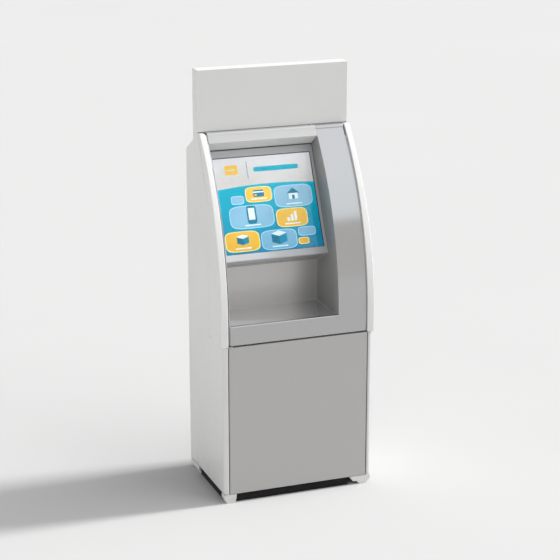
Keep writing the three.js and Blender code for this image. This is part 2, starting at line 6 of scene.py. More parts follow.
import bmesh
import bpy
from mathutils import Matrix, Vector

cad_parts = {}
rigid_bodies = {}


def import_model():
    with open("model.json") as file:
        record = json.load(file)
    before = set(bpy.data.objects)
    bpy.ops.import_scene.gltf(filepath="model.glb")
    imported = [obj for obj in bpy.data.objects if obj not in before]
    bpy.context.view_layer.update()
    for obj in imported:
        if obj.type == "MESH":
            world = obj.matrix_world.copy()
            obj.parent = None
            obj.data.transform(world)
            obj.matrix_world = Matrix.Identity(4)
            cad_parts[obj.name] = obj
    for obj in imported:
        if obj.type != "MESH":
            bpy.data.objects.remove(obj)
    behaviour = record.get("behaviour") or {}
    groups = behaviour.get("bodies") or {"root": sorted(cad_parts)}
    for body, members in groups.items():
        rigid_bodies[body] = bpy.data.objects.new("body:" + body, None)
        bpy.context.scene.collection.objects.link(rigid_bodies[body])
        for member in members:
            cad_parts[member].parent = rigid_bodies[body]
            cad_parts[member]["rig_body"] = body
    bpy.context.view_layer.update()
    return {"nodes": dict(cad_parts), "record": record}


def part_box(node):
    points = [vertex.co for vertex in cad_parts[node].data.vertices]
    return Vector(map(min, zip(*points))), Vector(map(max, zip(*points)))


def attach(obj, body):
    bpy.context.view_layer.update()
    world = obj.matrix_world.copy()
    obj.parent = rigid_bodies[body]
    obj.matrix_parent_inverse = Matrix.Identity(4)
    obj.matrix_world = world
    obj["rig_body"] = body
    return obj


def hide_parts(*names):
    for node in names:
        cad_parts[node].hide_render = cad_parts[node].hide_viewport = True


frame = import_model()

MM = 0.001
EDGE_MATERIAL = 1              # a piece's second material, for its rounded edges
SLOT_OF = {part["node"]: part["material_slot"] for part in frame["record"]["subparts"]}
TILT = math.radians(25)        # lean of the screen
GLASS_THICK = 3 * MM
BEZEL_THICK = 6 * MM


def body_of(node):
    return frame["nodes"][node]["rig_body"]


# Material parts ------------------------------------------------------------------------------


class Finish:
    """A Principled material being built, with its object coordinates in metres."""

    def __init__(self, name, **settings):
        self.material = bpy.data.materials.new(name)
        self.material.use_nodes = True
        self.tree = self.material.node_tree
        self.shader = self.tree.nodes["Principled BSDF"]
        self.place = self.add("ShaderNodeTexCoord").outputs["Object"]
        self.normal = None
        for socket, value in settings.items():
            self.shader.inputs[socket.replace("_", " ")].default_value = value

    def add(self, kind, **values):
        node = self.tree.nodes.new(kind)
        for key, value in values.items():
            setattr(node, key, value)
        return node

    def link(self, output, target):
        self.tree.links.new(output, target)

    def stretched(self, scale):
        node = self.add("ShaderNodeMapping")
        node.inputs["Scale"].default_value = scale
        self.link(self.place, node.inputs["Vector"])
        return node.outputs["Vector"]

    def noise(self, scale, detail=3.0, stretch=None):
        node = self.add("ShaderNodeTexNoise")
        node.inputs["Scale"].default_value = scale
        node.inputs["Detail"].default_value = detail
        self.link(self.stretched(stretch) if stretch else self.place, node.inputs["Vector"])
        return node.outputs["Fac"]

    def cells(self, scale):
        node = self.add("ShaderNodeTexVoronoi")
        node.inputs["Scale"].default_value = scale
        self.link(self.place, node.inputs["Vector"])
        return node.outputs["Color"]

    def spread(self, value, low, high, start=0.3, end=0.7):
        node = self.add("ShaderNodeMapRange")
        self.link(value, node.inputs["Value"])
        sockets = ("From Min", "From Max", "To Min", "To Max")
        for socket, number in zip(sockets, (start, end, low, high)):
            node.inputs[socket].default_value = number
        return node.outputs["Result"]

    def math(self, operation, a, b):
        node = self.add("ShaderNodeMath", operation=operation)
        for socket, value in zip(node.inputs, (a, b)):
            if isinstance(value, (int, float)):
                socket.default_value = value
            else:
                self.link(value, socket)
        return node.outputs["Value"]

    def mix(self, factor, first, second):
        node = self.add("ShaderNodeMix", data_type="RGBA")
        self.link(factor, node.inputs["Factor"])
        for index, value in ((6, first), (7, second)):
            if isinstance(value, tuple):
                node.inputs[index].default_value = (*value, 1)
            else:
                self.link(value, node.inputs[index])
        return node.outputs[2]

    def height(self):
        node = self.add("ShaderNodeSeparateXYZ")
        self.link(self.place, node.inputs["Vector"])
        return node.outputs["Z"]

    def colour(self, value):
        self.link(value, self.shader.inputs["Base Color"])

    def rough(self, value):
        self.link(value, self.shader.inputs["Roughness"])

    def bump(self, value, depth, strength=1.0):
        node = self.add("ShaderNodeBump")
        node.inputs["Strength"].default_value = strength
        node.inputs["Distance"].default_value = depth
        self.link(value, node.inputs["Height"])
        if self.normal:
            self.link(self.normal, node.inputs["Normal"])
        self.normal = node.outputs["Normal"]
        self.link(self.normal, self.shader.inputs["Normal"])


def shade(colour, factor):
    return tuple(min(1.0, channel * factor) for channel in colour)


# Materials -----------------------------------------------------------------------------------


def powder_coat(name, colour, rough, grime=0.0):
    """Baked powder paint: orange peel, a slight drift in shade, and grime near the floor."""
    m = Finish(name, Specular_IOR_Level=0.45)
    drift = m.spread(m.noise(3.2, 4), 0, 1)
    base = m.mix(drift, shade(colour, 0.97), shade(colour, 1.02))
    if grime:
        low = m.spread(m.height(), 1, 0, 0.0, 0.14)
        smudge = m.spread(m.noise(26, 5), 0, grime, 0.4, 0.8)
        base = m.mix(m.math("MULTIPLY", low, smudge), base, shade(colour, 0.55))
    m.colour(base)
    m.rough(m.spread(m.noise(45, 3), rough - 0.05, rough + 0.06))
    m.bump(m.noise(420, 2), 0.05 * MM, 0.5)
    m.bump(m.noise(1500, 1), 0.012 * MM, 0.4)
    return m.material


def satin_metal(name, colour, rough, metal=0.92, stretch=(1, 1, 1), grain=0.35):
    """Metallic lacquer: fine flake, soft reflections, a little streaking along its roll direction."""
    m = Finish(name, Metallic=metal, Coat_Weight=0.15, Coat_Roughness=0.1)
    streak = m.spread(m.noise(60, 4, stretch), 0, 1)
    flake = m.spread(m.cells(6000), 0.0, 1.0, 0.7, 1.0)
    base = m.mix(streak, shade(colour, 0.99), shade(colour, 1.01))
    base = m.mix(m.math("MULTIPLY", flake, 0.05), base, shade(colour, 1.2))
    m.colour(base)
    m.rough(m.spread(m.noise(30, 4), rough - 0.02, rough + 0.025))
    m.bump(m.noise(300, 2), 0.002 * MM, grain)
    return m.material


def zinc(name):
    """Zinc-plated sheet: a patchwork of crystal grains, brushed lightly and dulled in patches."""
    m = Finish(name, Metallic=1.0)
    grain = m.cells(110)
    tone = m.add("ShaderNodeRGBToBW")
    m.link(grain, tone.inputs["Color"])
    base = m.mix(tone.outputs["Val"], (0.44, 0.45, 0.46), (0.62, 0.63, 0.64))
    base = m.mix(m.spread(m.noise(9, 5), 0, 0.5), base, (0.5, 0.5, 0.49))
    m.colour(base)
    dull = m.spread(m.noise(18, 4), 0, 0.12)
    m.rough(m.math("ADD", m.spread(tone.outputs["Val"], 0.22, 0.38, 0, 1), dull))
    m.bump(m.noise(240, 3, (1, 1, 14)), 0.015 * MM, 0.4)
    return m.material


def moulded(name, colour, rough=0.45, grain=900, depth=0.04):
    """Injection-moulded plastic: spark-eroded grain, faint flow marks, shiny scuffs."""
    m = Finish(name, Specular_IOR_Level=0.5)
    flow = m.spread(m.noise(7, 3, (1, 1, 3)), 0, 1)
    base = m.mix(flow, shade(colour, 0.96), shade(colour, 1.04))
    m.colour(base)
    m.rough(m.spread(m.noise(35, 5), rough - 0.07, rough + 0.07))
    m.bump(m.noise(grain, 2), depth * MM, 0.55)
    return m.material


def glass(name):
    """Clear touch glass with a trace of green, wiped smears and a few finger marks."""
    m = Finish(name, Transmission_Weight=1.0, IOR=1.25, Specular_IOR_Level=0.2)
    marks = m.spread(m.noise(38, 6, (1, 1, 2.2)), 0, 1, 0.5, 0.85)
    m.colour(m.mix(marks, (0.985, 0.995, 0.995), (0.93, 0.95, 0.955)))
    m.rough(m.spread(m.noise(22, 5), 0.012, 0.05, 0.35, 0.8))
    m.bump(m.noise(4, 1), 0.02 * MM, 0.1)
    return m.material


def display(name, low, high, span, glow=0.55):
    """Lit picture: a colour that runs from low to high up the screen, over a fine dot pattern."""
    m = Finish(name, Roughness=0.4, Specular_IOR_Level=0.05, Emission_Strength=glow)
    run = m.spread(m.height(), 0, 1, *span)
    soft = m.math("ADD", run, m.spread(m.noise(9, 3), -0.12, 0.12))
    base = m.mix(soft, low, high)
    dots = m.add("ShaderNodeTexVoronoi")
    dots.inputs["Scale"].default_value = 3200
    m.link(m.place, dots.inputs["Vector"])
    lit = m.mix(m.spread(dots.outputs["Distance"], 0.0, 0.12, 0.2, 0.9), base, (0.0, 0.0, 0.0))
    m.colour(lit)
    m.link(lit, m.shader.inputs["Emission Color"])
    return m.material


def paper(name):
    """Thermal paper: fibres on the face, and wound layers on the roll's ends."""
    m = Finish(name, Roughness=0.85, Specular_IOR_Level=0.2)
    fibre = m.spread(m.noise(700, 5), 0, 1)
    m.colour(m.mix(fibre, (0.82, 0.81, 0.78), (0.9, 0.9, 0.88)))
    m.bump(m.noise(5200, 1, (0.02, 1, 1)), 0.03 * MM, 0.6)
    return m.material


def polished(name, colour, rough):
    """Plated or turned lock metal with turning marks and handling wear."""
    m = Finish(name, Metallic=1.0)
    wear = m.spread(m.noise(190, 5), 0, 1)
    m.colour(m.mix(wear, shade(colour, 0.88), shade(colour, 1.05)))
    m.rough(m.spread(m.noise(260, 3), rough, rough + 0.12))
    m.bump(m.noise(2400, 1, (1, 0.1, 0.1)), 0.006 * MM, 0.5)
    return m.material


def diffuser(name):
    """Milky light cover, unlit: fine prismatic ribs along its length."""
    m = Finish(name, Subsurface_Weight=0.25, Roughness=0.4)
    ribs = m.add("ShaderNodeTexWave", bands_direction="Z")
    ribs.inputs["Scale"].default_value = 180
    m.link(m.place, ribs.inputs["Vector"])
    m.colour(m.mix(m.spread(m.noise(12, 3), 0, 1), (0.83, 0.83, 0.8), (0.9, 0.9, 0.88)))
    m.bump(ribs.outputs["Fac"], 0.15 * MM, 0.4)
    return m.material


WHITE = (0.635, 0.635, 0.627)
GREY = (0.43, 0.425, 0.42)
SILVER = (0.45, 0.45, 0.45)

MATERIALS = {
    "white_paint": powder_coat("White powder coat", WHITE, 0.4, grime=0.35),
    "grey_paint": satin_metal("Grey satin metal", GREY, 0.34, 0.6, (1, 1, 9)),
    "silver_paint": satin_metal("Silver gloss metal", SILVER, 0.13, 0.92, (1, 9, 1)),
    "zinc_steel": zinc("Zinc-plated steel"),
    "bezel_plastic": moulded("Blue-grey bezel plastic", (0.45, 0.46, 0.475), 0.36, 1100, 0.02),
    "glass": glass("Touch glass"),
    "lcd": moulded("Display panel", (0.02, 0.022, 0.025), 0.3, 1400, 0.01),
    "black_plastic": moulded("Black textured plastic", (0.018, 0.019, 0.021), 0.48),
    "dark_metal": powder_coat("Dark grey enamel", (0.085, 0.09, 0.1), 0.5),
    "cassette_plastic": moulded("Cassette plastic", (0.11, 0.16, 0.23), 0.42, 700, 0.06),
    "foot_plastic": moulded("Pale foot plastic", (0.6, 0.6, 0.59), 0.5, 600, 0.05),
    "led_diffuser": diffuser("Light cover"),
    "lock_chrome": polished("Lock chrome", (0.72, 0.73, 0.75), 0.12),
    "lock_brass": polished("Lock brass", (0.62, 0.5, 0.27), 0.22),
    "paper": paper("Receipt paper"),
    "rocker_plastic": moulded("Red rocker plastic", (0.2, 0.012, 0.01), 0.3, 900, 0.02),
}

# What the rounded edges look like where handling has rubbed them
WORN = {
    "white_paint": powder_coat("White powder coat edge", shade(WHITE, 1.06), 0.3),
    "grey_paint": satin_metal("Grey satin metal edge", shade(GREY, 1.15), 0.3, 0.8),
    "silver_paint": satin_metal("Silver gloss metal edge", shade(SILVER, 1.15), 0.16),
    "dark_metal": powder_coat("Dark grey enamel edge", (0.16, 0.165, 0.17), 0.38),
    "black_plastic": moulded("Black textured plastic edge", (0.035, 0.036, 0.038), 0.36),
    "cassette_plastic": moulded("Cassette plastic edge", (0.16, 0.21, 0.28), 0.34, 700, 0.03),
}


# Pieces --------------------------------------------------------------------------------------


def link_piece(name, mesh, body, slot, materials=None):
    piece = bpy.data.objects.new(name, mesh)
    bpy.context.scene.collection.objects.link(piece)
    for material in materials or [MATERIALS[slot], WORN.get(slot, MATERIALS[slot])]:
        mesh.materials.append(material)
    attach(piece, body)
    return piece


def settle(piece):
    """Bakes the piece's modifiers into its mesh."""
    depsgraph = bpy.context.evaluated_depsgraph_get()
    mesh = bpy.data.meshes.new_from_object(
        piece.evaluated_get(depsgraph), preserve_all_data_layers=True, depsgraph=depsgraph)
    piece.modifiers.clear()
    piece.data = mesh


def cleaned(node):
    """A copy of a CAD node's mesh with its triangles merged into flat faces."""
    bm = bmesh.new()
    bm.from_mesh(frame["nodes"][node].data)
    bmesh.ops.remove_doubles(bm, verts=bm.verts, dist=0.01 * MM)
    bmesh.ops.dissolve_limit(
        bm, angle_limit=math.radians(0.4), verts=bm.verts, edges=bm.edges, delimit={"NORMAL"})
    bmesh.ops.recalc_face_normals(bm, faces=bm.faces)
    mesh = bpy.data.meshes.new(node + "_mesh")
    bm.to_mesh(mesh)
    bm.free()
    return mesh


def soften(piece, width, segments=2, angle=28):
    """Rounds the piece's sharp edges and smooths the shading between its facets."""
    bevel = piece.modifiers.new("edges", "BEVEL")
    bevel.width = width
    bevel.segments = segments
    bevel.limit_method = "ANGLE"
    bevel.angle_limit = math.radians(angle)
    bevel.use_clamp_overlap = False
    bevel.material = EDGE_MATERIAL if len(piece.data.materials) > EDGE_MATERIAL else -1
    for polygon in piece.data.polygons:
        polygon.use_smooth = True
    weights = piece.modifiers.new("normals", "WEIGHTED_NORMAL")
    weights.keep_sharp = False
    weights.weight = 90
    settle(piece)


def refined(node, width, segments, cutters):
    """Stands for a CAD node with rounded edges, and holes where the cutters are."""
    piece = link_piece(node + "_finish", cleaned(node), body_of(node), SLOT_OF[node])
    for cutter in cutters:
        hole = piece.modifiers.new("hole", "BOOLEAN")
        hole.object = cutter
        hole.solver = "EXACT"
    if cutters:
        settle(piece)
        for cutter in cutters:
            bpy.data.objects.remove(cutter)
    soften(piece, width, segments)
    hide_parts(node)


def solid(bm, outline_front, outline_back, material_index=0):
    """A closed slab between two rings of points that run the same way round."""
    front = [bm.verts.new(p) for p in outline_front]
    back = [bm.verts.new(p) for p in outline_back]
    faces = [bm.faces.new(front), bm.faces.new(list(reversed(back)))]
    count = len(front)
    for i in range(count):
        j = (i + 1) % count
        faces.append(bm.faces.new((front[j], front[i], back[i], back[j])))
    for face in faces:
        face.material_index = material_index


def sweep(bm, rings):
    """Joins rings of vertices, all with as many points, into one closed strip."""
    for first, second in zip(rings, rings[1:]):
        for i in range(len(first)):
            j = (i + 1) % len(first)
            bm.faces.new((first[i], first[j], second[j], second[i]))
    bm.faces.new(rings[0])
    bm.faces.new(list(reversed(rings[-1])))


def finish_mesh(bm, name):
    bmesh.ops.recalc_face_normals(bm, faces=bm.faces)
    mesh = bpy.data.meshes.new(name)
    bm.to_mesh(mesh)
    bm.free()
    return mesh


def lathe(bm, profile, centre, axis, sides=24):
    """Turns (radius, height) points about an axis. The profile starts and ends at radius 0."""
    axis = Vector(axis).normalized()
    side = axis.orthogonal().normalized()
    other = axis.cross(side)
    turn = [2 * math.pi * i / sides for i in range(sides)]
    rings = []
    for radius, along in profile:
        base = Vector(centre) + axis * along
        if radius == 0:
            rings.append([bm.verts.new(base)])
            continue
        rings.append([
            bm.verts.new(base + (side * math.cos(t) + other * math.sin(t)) * radius) for t in turn])
    for lower, upper in zip(rings, rings[1:]):
        for i in range(sides):
            j = (i + 1) % sides
            below = [lower[i % len(lower)], lower[j % len(lower)]]
            above = [upper[j % len(upper)], upper[i % len(upper)]]
            unique = list(dict.fromkeys(below + above))
            if len(unique) > 2:
                bm.faces.new(unique)


def block(bm, low, high):
    """A box between two corners, joined into a larger piece."""
    (x0, y0, z0), (x1, y1, z1) = low, high
    ring = [(x0, z0), (x1, z0), (x1, z1), (x0, z1)]
    solid(bm, [(x, y0, z) for x, z in ring], [(x, y1, z) for x, z in ring])


# The screen's picture ------------------------------------------------------------------------

glass_low, glass_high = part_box("touch_glass")
ACROSS = glass_high.x - glass_low.x
TALL = (glass_high.z - glass_low.z - GLASS_THICK * math.sin(TILT)) / math.cos(TILT)
PICTURE_DEPTH = GLASS_THICK + 1.35 * MM      # just in front of the display panel
LAYER = 0.12 * MM
BORDER_WIDTH = 1.6 * MM
TILE_RIM = 0.007               # width of a tile's pale rim, as a part of the screen
WIDE_TILE = 0.25               # tiles wider than this have a caption bar


def on_screen(u, v, depth):
    """A point at u across and v up the glass, both 0 to 1, and this far behind its front face."""
    up = v * TALL
    return Vector((
        glass_low.x + u * ACROSS,
        glass_low.y + up * math.sin(TILT) + depth * math.cos(TILT),
        glass_low.z + GLASS_THICK * math.sin(TILT) + up * math.cos(TILT) - depth * math.sin(TILT)))


def cushion_outline(u0, u1, v0, v1, power=4.4, steps=40):
    """A rounded rectangle with bulging sides."""
    points = []
    for i in range(steps):
        t = 2 * math.pi * i / steps
        c, s = math.cos(t), math.sin(t)
        points.append((
            (u0 + u1) / 2 + (u1 - u0) / 2 * math.copysign(abs(c) ** (2 / power), c),
            (v0 + v1) / 2 + (v1 - v0) / 2 * math.copysign(abs(s) ** (2 / power), s)))
    return points


def bar(u0, u1, v0, v1):
    return [(u0, v0), (u1, v0), (u1, v1), (u0, v1)]


def arch(u):
    """Height of the arched edge between the pale band and the blue field."""
    return 0.672 + 0.034 * (1 - ((u - 0.55) / 0.55) ** 2)


def shape(bm, outline, level, material_index):
    front = [on_screen(u, v, PICTURE_DEPTH - level * LAYER) for u, v in outline]
    back = [on_screen(u, v, PICTURE_DEPTH - (level - 0.9) * LAYER) for u, v in outline]
    solid(bm, front, back, material_index)


# The picture's colours, in the order of its materials
PALE, BLUE, LIGHT, INK, YELLOW, DEEP, LIGHT_RIM, YELLOW_RIM, BORDER = range(9)

TILES = [                      # u0, u1, v0, v1, colour
    (0.28, 0.55, 0.52, 0.68, YELLOW),
    (0.57, 0.96, 0.44, 0.67, LIGHT),
    (0.13, 0.26, 0.51, 0.60, LIGHT),
    (0.09, 0.54, 0.255, 0.495, LIGHT),
    (0.56, 0.88, 0.235, 0.43, YELLOW),
    (0.01, 0.36, 0.025, 0.235, YELLOW),
    (0.375, 0.74, 0.015, 0.22, LIGHT),
    (0.76, 0.94, 0.13, 0.225, LIGHT),
    (0.75, 0.86, 0.045, 0.115, YELLOW),
]


# Each pictogram's strokes: an outline in units of the pictogram's size, its layer and its colour
ICONS = {
    "phone": [
        (cushion_outline(-0.3, 0.3, -0.55, 0.55, 6), 3, DEEP),
        (bar(-0.2, 0.2, -0.3, 0.42), 4, INK)],
    "carton": [
        ([(-0.6, -0.3), (0, -0.5), (0, 0.1), (-0.6, 0.3)], 3, DEEP),
        ([(0, -0.5), (0.6, -0.3), (0.6, 0.3), (0, 0.1)], 3, BLUE),
        ([(-0.6, 0.34), (0, 0.14), (0.6, 0.34), (0, 0.54)], 3, INK)],
    "card": [
        (cushion_outline(-0.62, 0.62, -0.38, 0.38, 7), 3, DEEP),
        (bar(-0.6, 0.6, 0.08, 0.22), 4, INK),
        (bar(-0.48, -0.2, -0.24, -0.08), 4, YELLOW)],
    "bars": [
        (bar(left, left + 0.25, -0.45, top), 3, INK)
        for left, top in ((-0.5, -0.1), (-0.13, 0.15), (0.24, 0.45))],
    "house": [
        (bar(-0.42, 0.42, -0.45, 0.05), 3, INK),
        ([(-0.6, 0.06), (0.6, 0.06), (0, 0.55)], 3, DEEP),
        (bar(-0.12, 0.12, -0.45, -0.1), 4, DEEP)],
}
ICON_PLACES = [                # kind, u, v, size
    ("card", 0.415, 0.61, 0.09),
    ("house", 0.765, 0.575, 0.11),
    ("phone", 0.315, 0.395, 0.16),
    ("bars", 0.72, 0.345, 0.1),
    ("carton", 0.19, 0.145, 0.1),
    ("carton", 0.56, 0.135, 0.13),
]


def icon(bm, kind, u, v, size):
    """A plain pictogram, centred at u and v and as wide as size says."""
    tall = size * ACROSS / TALL
    for outline, level, colour in ICONS[kind]:
        shape(bm, [(u + size * x, v + tall * y) for x, y in outline], level, colour)


def screen_picture():
    """A generic menu: tiles and caption bars on a blue field under a pale band."""
    bm = bmesh.new()
    shape(bm, bar(0, 1, 0, 1), 1, PALE)
    steps = 24
    crest = [(i / steps, arch(i / steps)) for i in range(steps + 1)]
    shape(bm, [(0, 0), (1, 0), *reversed(crest)], 2, BLUE)
    shape(bm, bar(0.333, 0.338, 0.77, 0.95), 2, DEEP)
    shape(bm, cushion_outline(0.11, 0.24, 0.82, 0.92, 7), 2, YELLOW)
    shape(bm, bar(0.14, 0.21, 0.863, 0.877), 3, PALE)
    shape(bm, cushion_outline(0.40, 0.86, 0.835, 0.885, 8), 2, BLUE)
    picture_border(bm)
    for tile in TILES:
        draw_tile(bm, *tile)
    return finish_mesh(bm, "screen_picture_mesh")


def picture_border(bm):
    """A thin dark line round the lit area."""
    u, v = BORDER_WIDTH / ACROSS, BORDER_WIDTH / TALL
    sides = ((0, u, 0, 1), (1 - u, 1, 0, 1), (u, 1 - u, 0, v), (u, 1 - u, 1 - v, 1))
    for side in sides:
        shape(bm, bar(*side), 3, BORDER)


def draw_tile(bm, u0, u1, v0, v1, colour):
    """A rimmed tile, with a caption bar if it is wide."""
    shape(bm, cushion_outline(u0, u1, v0, v1), 3, LIGHT_RIM if colour == LIGHT else YELLOW_RIM)
    inner = cushion_outline(u0 + TILE_RIM, u1 - TILE_RIM, v0 + TILE_RIM, v1 - TILE_RIM)
    shape(bm, inner, 4, colour)
    middle = (u0 + u1) / 2
    if u1 - u0 > WIDE_TILE:
        shape(bm, bar(middle - 0.08, middle + 0.08, v0 + 0.028, v0 + 0.04), 5, INK)


def picture_icons():
    bm = bmesh.new()
    for place in ICON_PLACES:
        icon(bm, *place)
    for vert in bm.verts:      # stands the pictograms on top of the tiles
        vert.co -= Vector((0, math.cos(TILT), -math.sin(TILT))) * LAYER * 2
    return finish_mesh(bm, "picture_icons_mesh")


def make_picture():
    low, high = glass_low.z, glass_high.z
    arch_z = on_screen(0.5, 0.69, 0).z
    looks = [                  # in the order of PALE to BORDER
        display("Picture pale", (0.56, 0.54, 0.52), (0.68, 0.68, 0.7), (arch_z, high)),
        display("Picture blue", (0.001, 0.19, 0.34), (0.001, 0.37, 0.5), (low, arch_z)),
        display("Picture light blue", (0.14, 0.36, 0.52), (0.26, 0.47, 0.62), (low, arch_z)),
        display("Picture white", (0.6, 0.72, 0.76), (0.75, 0.8, 0.82), (low, high)),
        display("Picture yellow", (0.62, 0.36, 0.03), (0.8, 0.5, 0.08), (low, arch_z)),
        display("Picture deep blue", (0.002, 0.13, 0.22), (0.004, 0.2, 0.32), (low, high)),
        display("Picture pale blue", (0.3, 0.6, 0.76), (0.4, 0.68, 0.8), (low, high)),
        display("Picture pale yellow", (0.85, 0.7, 0.25), (0.9, 0.75, 0.35), (low, high)),
        display("Picture border", (0.04, 0.045, 0.05), (0.06, 0.065, 0.07), (low, high), 0.1),
    ]
    body = body_of("lcd_panel")
    link_piece("screen_picture", screen_picture(), body, "lcd", looks)
    link_piece("screen_icons", picture_icons(), body, "lcd", looks)


# Small fittings ------------------------------------------------------------------------------


FORWARD = (0, -1, 0)
SUNK = 0.2 * MM                # how far a fitting goes into the face behind it
CASSETTE_GRIP = 12 * MM        # a cassette's front face is this far behind its grip
SCREW_R = 3.2 * MM
SCREW_DOME = [(0, -1.5), (0.55, -1.5), (1, -0.1), (1, 0.3), (0.8, 0.9), (0.45, 1.2), (0, 1.25)]


def cutter_object(bm, name):
    cutter = bpy.data.objects.new(name, finish_mesh(bm, name + "_mesh"))
    bpy.context.scene.collection.objects.link(cutter)
    return cutter


def screw_heads(name, places, axis, body):
    """Domed heads with a cross recess, standing on a face and pointing along the axis."""
    axis = Vector(axis).normalized()
    side = axis.orthogonal().normalized()
    other = axis.cross(side)
    bm, cross = bmesh.new(), bmesh.new()
    for place in places:
        lathe(bm, [(r * SCREW_R, h * MM) for r, h in SCREW_DOME], place, axis)
        for a, b in ((side, other), (other, side)):
            half, thin = a * SCREW_R * 0.6, b * 0.45 * MM
            foot = Vector(place) + axis * 0.4 * MM
            ring = [foot - half - thin, foot + half - thin, foot + half + thin, foot - half + thin]
            solid(cross, [p + axis * 1.6 * MM for p in ring], ring)
    piece = link_piece(name, finish_mesh(bm, name + "_mesh"), body, "zinc_steel")
    cutter = cutter_object(cross, name + "_cross")
    hole = piece.modifiers.new("cross", "BOOLEAN")
    hole.object = cutter
    hole.solver = "EXACT"
    hole.use_self = True
    settle(piece)
    bpy.data.objects.remove(cutter)
    soften(piece, 0.1 * MM, 1, 50)


def counterbores(places, axis):
    bm = bmesh.new()
    deep, radius = 1.4 * MM, SCREW_R + 0.6 * MM
    for place in places:
        lathe(bm, [(0, -deep), (radius, -deep), (radius, MM), (0, MM)], place, axis, 32)
    return cutter_object(bm, "counterbores")


def grid(first, last, count):
    return [first + (last - first) * i / (count - 1) for i in range(count)]


def back_screw_places():
    low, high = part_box("back_panel")
    margin = 9 * MM
    return [Vector((x, high.y, z)) for x in (low.x + margin, high.x - margin)
            for z in grid(low.z + 25 * MM, high.z - 20 * MM, 6)]


def panel_screws():
    back = back_screw_places()
    out = Vector((0, 1, 0))
    screw_heads("back_panel_screws", [p - out * 1.3 * MM for p in back], out, body_of("back_panel"))
    low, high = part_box("header_back")
    places = [Vector((x, high.y, z)) for x in grid(low.x + 14 * MM, high.x - 14 * MM, 4)
              for z in (low.z + 20 * MM, high.z - 14 * MM)]
    screw_heads("header_back_screws", places, out, body_of("header_back"))


def louvres(bm, low_x, high_x, front_y, low_z, count):
    """Raised, sloping vent slats on a face at front_y that looks along -Y."""
    pitch, tall = 7 * MM, 4 * MM
    proud, flush, sunk = front_y - 1.6 * MM, front_y - 0.4 * MM, front_y + 0.2 * MM
    for i in range(count):
        z = low_z + i * pitch
        front = [(low_x, proud, z), (high_x, proud, z), (high_x, flush, z + tall),
                 (low_x, flush, z + tall)]
        solid(bm, front, [(x, sunk, z_at) for x, _, z_at in front])


def fitting(name, node, slot, build, width=0.4 * MM):
    """A piece made by build(bm, low, high) on the front of a CAD node, riding with it."""
    bm = bmesh.new()
    low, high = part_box(node)
    build(bm, low, high)
    soften(link_piece(name, finish_mesh(bm, name + "_mesh"), body_of(node), slot), width, 2, 40)


def computer_vents(bm, low, high):
    louvres(bm, low.x + 20 * MM, high.x - 20 * MM, low.y, low.z + 30 * MM, 12)


def computer_panel(bm, low, high):
    """A raised panel with a round button and three sockets."""
    y = low.y
    block(bm, (low.x + 18 * MM, y - 3 * MM, high.z - 62 * MM),
          (high.x - 18 * MM, y + SUNK, high.z - 20 * MM))
    button = [(0, 0), (8 * MM, 0), (8 * MM, 4.5 * MM), (6.5 * MM, 5.5 * MM), (0, 5 * MM)]
    lathe(bm, button, (high.x - 36 * MM, y - 2 * MM, high.z - 41 * MM), FORWARD, 32)
    for i in range(3):
        x = low.x + (32 + i * 20) * MM
        block(bm, (x, y - 4 * MM, high.z - 46 * MM), (x + 13 * MM, y - 2 * MM, high.z - 36 * MM))


def battery_panel(bm, low, high):
    """Vent slats, an outlet plate and a round button."""
    y = low.y
    louvres(bm, low.x + 15 * MM, low.x + 80 * MM, y, low.z + 25 * MM, 7)
    block(bm, (high.x - 60 * MM, y - 1.5 * MM, low.z + 40 * MM),
          (high.x - 18 * MM, y + SUNK, low.z + 66 * MM))
    button = [(0, 0), (7 * MM, 0), (7 * MM, 3 * MM), (5 * MM, 4 * MM), (0, 3.6 * MM)]
    lathe(bm, button, (high.x - 39 * MM, y, low.z + 22 * MM), FORWARD, 28)


def cassette_face(bm, low, high):
    """Ribs and a latch button on the cassette's front."""
    y = low.y + CASSETTE_GRIP
    for x in (low.x + 10 * MM, low.x + 18 * MM, high.x - 21 * MM, high.x - 13 * MM):
        block(bm, (x, y - 1.6 * MM, low.z + 8 * MM), (x + 3 * MM, y + SUNK, high.z - 8 * MM))
    button = [(0, 0), (9 * MM, 0), (9 * MM, 3 * MM), (6 * MM, 4 * MM), (0, 3.4 * MM)]
    lathe(bm, button, (high.x - 42 * MM, y, (low.z + high.z) / 2), FORWARD, 32)


def cassette_plate(bm, low, high):
    """A blank plate on the cassette's front."""
    y = low.y + CASSETTE_GRIP
    block(bm, (low.x + 30 * MM, y - MM, low.z + 14 * MM), (low.x + 74 * MM, y + SUNK, low.z + 32 * MM))


def dispenser_works(bm, low, high):
    """The cover over the note-picking works, with five ribs."""
    y = low.y
    block(bm, (low.x + 12 * MM, y - 2 * MM, high.z - 128 * MM),
          (high.x - 12 * MM, y + SUNK, high.z - 14 * MM))
    for i in range(5):
        z = high.z - (112 - i * 9) * MM
        block(bm, (low.x + 30 * MM, y - 3.2 * MM, z), (low.x + 130 * MM, y - 1.8 * MM, z + 4 * MM))


def dispenser_knobs(bm, low, high):
    """Two knobs that turn the note-picking works by hand."""
    knob = [(0, 0), (13 * MM, 0), (13 * MM, 7 * MM), (11.5 * MM, 8.5 * MM), (4 * MM, 8.5 * MM),
            (0, 7.5 * MM)]
    for x in (high.x - 36 * MM, high.x - 78 * MM):
        lathe(bm, knob, (x, low.y - 1.5 * MM, high.z - 72 * MM), FORWARD, 18)


# Seals, painted shadow skirt and fillet -----------------------------------------------------------

CURVE_START, CURVE_R = 563 * MM, 828 * MM     # the front's arc: where it begins, and its radius
SEAL_TOP = 1070 * MM           # of the right seal
LEFT_SEAL = (1010 * MM, 1099 * MM)
SEAL_WIDE, SEAL_DEEP = 3.5 * MM, 5 * MM


